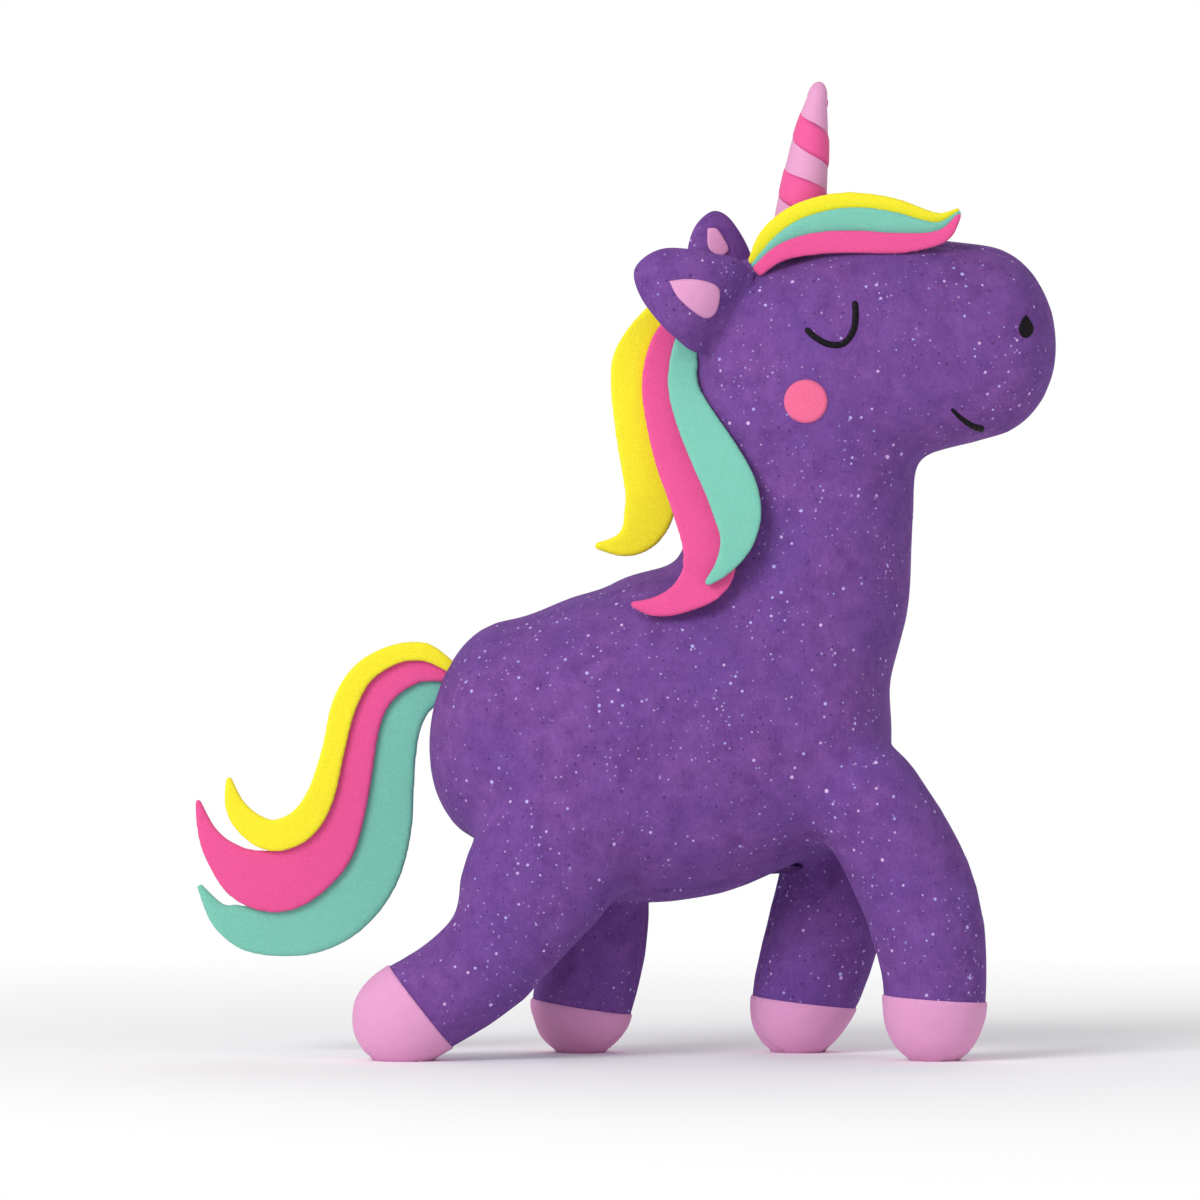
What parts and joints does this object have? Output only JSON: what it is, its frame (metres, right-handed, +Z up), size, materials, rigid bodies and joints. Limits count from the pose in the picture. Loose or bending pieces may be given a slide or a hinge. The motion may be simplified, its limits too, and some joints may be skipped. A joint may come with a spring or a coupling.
{
  "type": "plush unicorn",
  "caption": "Standing plush unicorn, purple, with a felt mane, forelock and tail in yellow, pink and teal, and a banded pink horn.",
  "frame": {"origin": "on the floor, below the middle of the toy", "axes": "+X towards the nose, +Y towards the animal's left side, +Z up"},
  "size_m": [0.2583, 0.075, 0.2919],
  "materials": {
    "purple_plush": "short-pile plush with a fine glitter fleck",
    "stuffing": "loose polyester fibre",
    "hoof_felt": "smooth felt",
    "horn_cloth": "smooth woven cloth",
    "horn_band": "smooth woven cloth",
    "yellow_felt": "wool felt",
    "pink_felt": "wool felt",
    "teal_felt": "wool felt",
    "cheek_felt": "wool felt",
    "black_thread": "satin-stitched thread"
  },
  "bodies": {
    "torso": {"torso_stuffing": "stuffing", "side_panel_right": "purple_plush", "side_panel_left": "purple_plush", "belly_panel": "purple_plush"},
    "head": {"head_stuffing": "stuffing", "face_panel_right": "purple_plush", "face_panel_left": "purple_plush", "forehead_panel": "purple_plush", "eye_stitching_right": "black_thread", "eye_stitching_left": "black_thread", "nostril_right": "black_thread", "nostril_left": "black_thread", "smile_stitching_right": "black_thread", "smile_stitching_left": "black_thread", "cheek_patch_right": "cheek_felt", "cheek_patch_left": "cheek_felt"},
    "leg_front_right": {"leg_cover_front_right": "purple_plush", "leg_stuffing_front_right": "stuffing", "hoof_front_right": "hoof_felt"},
    "leg_front_left": {"leg_cover_front_left": "purple_plush", "leg_stuffing_front_left": "stuffing", "hoof_front_left": "hoof_felt"},
    "leg_rear_right": {"leg_cover_rear_right": "purple_plush", "leg_stuffing_rear_right": "stuffing", "hoof_rear_right": "hoof_felt"},
    "leg_rear_left": {"leg_cover_rear_left": "purple_plush", "leg_stuffing_rear_left": "stuffing", "hoof_rear_left": "hoof_felt"},
    "ear_right": {"ear_cover_right": "purple_plush", "ear_padding_right": "stuffing", "ear_lining_right": "hoof_felt"},
    "ear_left": {"ear_cover_left": "purple_plush", "ear_padding_left": "stuffing", "ear_lining_left": "hoof_felt"},
    "horn": {"horn_cover": "horn_cloth", "horn_stuffing": "stuffing", "horn_ribbon": "horn_band"},
    "mane": {"mane_yellow": "yellow_felt", "mane_pink": "pink_felt", "mane_teal": "teal_felt"},
    "forelock": {"forelock_yellow": "yellow_felt", "forelock_pink": "pink_felt", "forelock_teal": "teal_felt"},
    "tail": {"tail_yellow": "yellow_felt", "tail_pink": "pink_felt", "tail_teal": "teal_felt"}
  },
  "joints": [
    {"name": "neck_nod", "type": "hinge", "parent": "torso", "child": "head", "pos_m": [0.053, 0, 0.15], "axis": [0, 1, 0], "range_deg": [-5, 10], "stiffness_Nm_per_rad": 1.5},
    {"name": "front_right_leg_swing", "type": "hinge", "parent": "torso", "child": "leg_front_right", "pos_m": [0.074, -0.022, 0.078], "axis": [0, 1, 0], "range_deg": [-10, 12], "stiffness_Nm_per_rad": 2},
    {"name": "front_left_leg_swing", "type": "hinge", "parent": "torso", "child": "leg_front_left", "pos_m": [0.068, 0.022, 0.074], "axis": [0, 1, 0], "range_deg": [-10, 12], "stiffness_Nm_per_rad": 2},
    {"name": "rear_right_leg_swing", "type": "hinge", "parent": "torso", "child": "leg_rear_right", "pos_m": [-0.016, -0.022, 0.066], "axis": [0, 1, 0], "range_deg": [-12, 6], "stiffness_Nm_per_rad": 2},
    {"name": "rear_left_leg_swing", "type": "hinge", "parent": "torso", "child": "leg_rear_left", "pos_m": [-0.01, 0.022, 0.068], "axis": [0, 1, 0], "range_deg": [-12, 10], "stiffness_Nm_per_rad": 2},
    {"name": "right_ear_fold", "type": "hinge", "parent": "head", "child": "ear_right", "pos_m": [0.028, -0.022, 0.226], "axis": [0.4856, 0, 0.8742], "range_deg": [0, 25], "stiffness_Nm_per_rad": 0.02},
    {"name": "left_ear_fold", "type": "hinge", "parent": "head", "child": "ear_left", "pos_m": [0.027, 0.022, 0.227], "axis": [-1, 0, 0], "range_deg": [0, 20], "stiffness_Nm_per_rad": 0.02},
    {"name": "horn_bend", "type": "hinge", "parent": "head", "child": "horn", "pos_m": [0.051, 0, 0.2445], "axis": [0, 1, 0], "range_deg": [-8, 8], "stiffness_Nm_per_rad": 0.03},
    {"name": "mane_swing", "type": "hinge", "parent": "head", "child": "mane", "pos_m": [0.016, -0.005, 0.227], "axis": [-1, 0, 0], "range_deg": [0, 15], "stiffness_Nm_per_rad": 0.02},
    {"name": "forelock_lift", "type": "hinge", "parent": "head", "child": "forelock", "pos_m": [0.037, -0.013, 0.237], "axis": [0, -1, 0], "range_deg": [0, 12], "stiffness_Nm_per_rad": 0.02},
    {"name": "tail_wag", "type": "hinge", "parent": "torso", "child": "tail", "pos_m": [-0.051, 0, 0.114], "axis": [0, 0, 1], "range_deg": [-15, 15], "stiffness_Nm_per_rad": 0.02}
  ]
}
